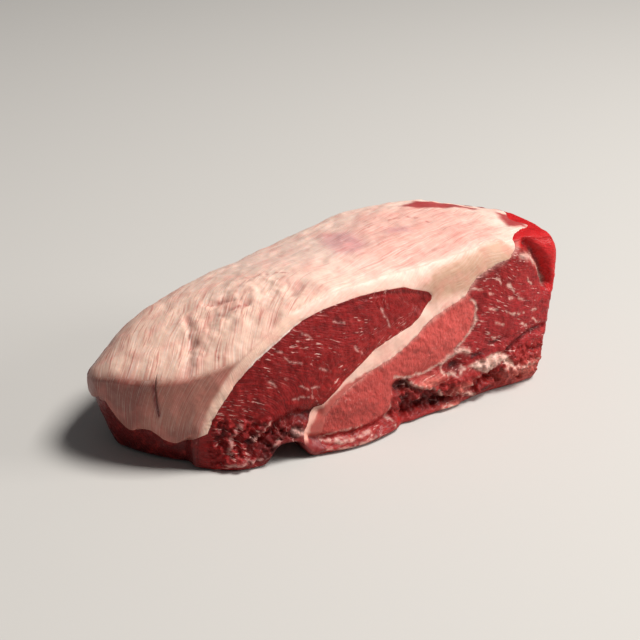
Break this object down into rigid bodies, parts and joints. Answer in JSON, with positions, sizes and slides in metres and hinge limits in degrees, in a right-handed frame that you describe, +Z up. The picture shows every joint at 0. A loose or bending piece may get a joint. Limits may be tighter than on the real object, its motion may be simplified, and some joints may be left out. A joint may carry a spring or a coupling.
{
  "type": "beef rump",
  "caption": "Whole raw boneless beef rump, cut flat along one side, with a fat cover over its top and end and a fat seam across the cut.",
  "frame": {"origin": "on the board it rests on, under the middle of the joint's outline", "axes": "+X along the cut face to its right end, +Y from the cut face to the back, +Z up"},
  "size_m": [0.3451, 0.1772, 0.1214],
  "materials": {
    "beef_fat": "moist raw beef fat, cream to pink",
    "beef_lean": "moist raw lean beef, deep red"
  },
  "bodies": {
    "root": {"fat_cover": "beef_fat", "rump_cap_muscle": "beef_lean", "rump_eye_muscle": "beef_lean"}
  },
  "joints": []
}
